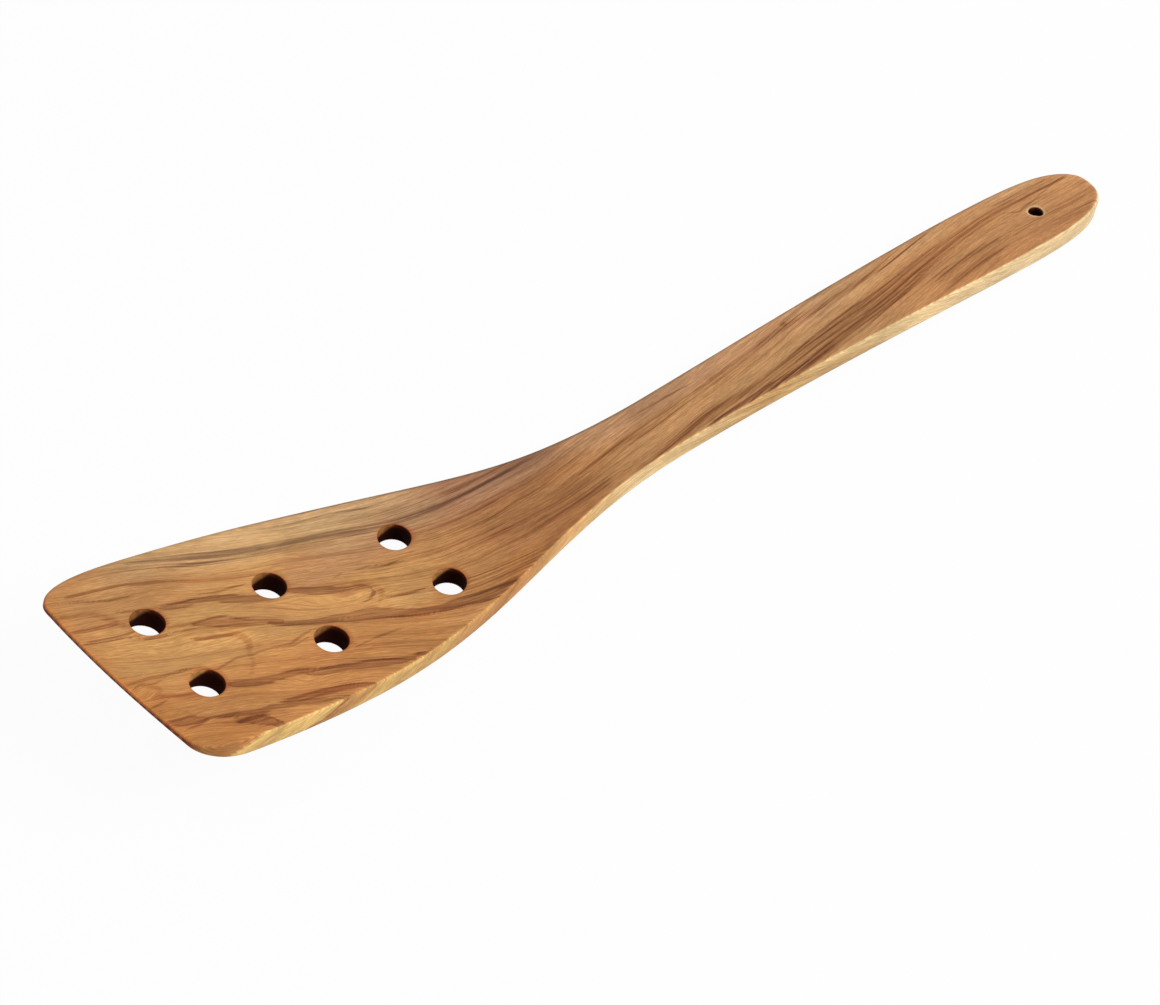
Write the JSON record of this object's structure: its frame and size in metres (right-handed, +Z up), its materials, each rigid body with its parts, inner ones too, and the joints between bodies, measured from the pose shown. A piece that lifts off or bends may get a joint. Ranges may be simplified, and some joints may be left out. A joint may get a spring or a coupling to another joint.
{
  "type": "slotted wooden turner",
  "caption": "Slotted turner made from one piece of olive wood: a broad drilled blade with a thin skewed front edge, a cranked neck and a slim handle with a hanging hole.",
  "frame": {"origin": "under the middle of the bounding box, on the table the spatula lies on", "axes": "+X from the front edge to the butt of the handle, +Y to the side of the longer front corner, +Z up with the hollow side of the blade up"},
  "size_m": [0.2972, 0.0572, 0.0295],
  "materials": {
    "olive_wood": "oiled satin"
  },
  "bodies": {
    "root": {"spatula": "olive_wood"}
  },
  "joints": []
}
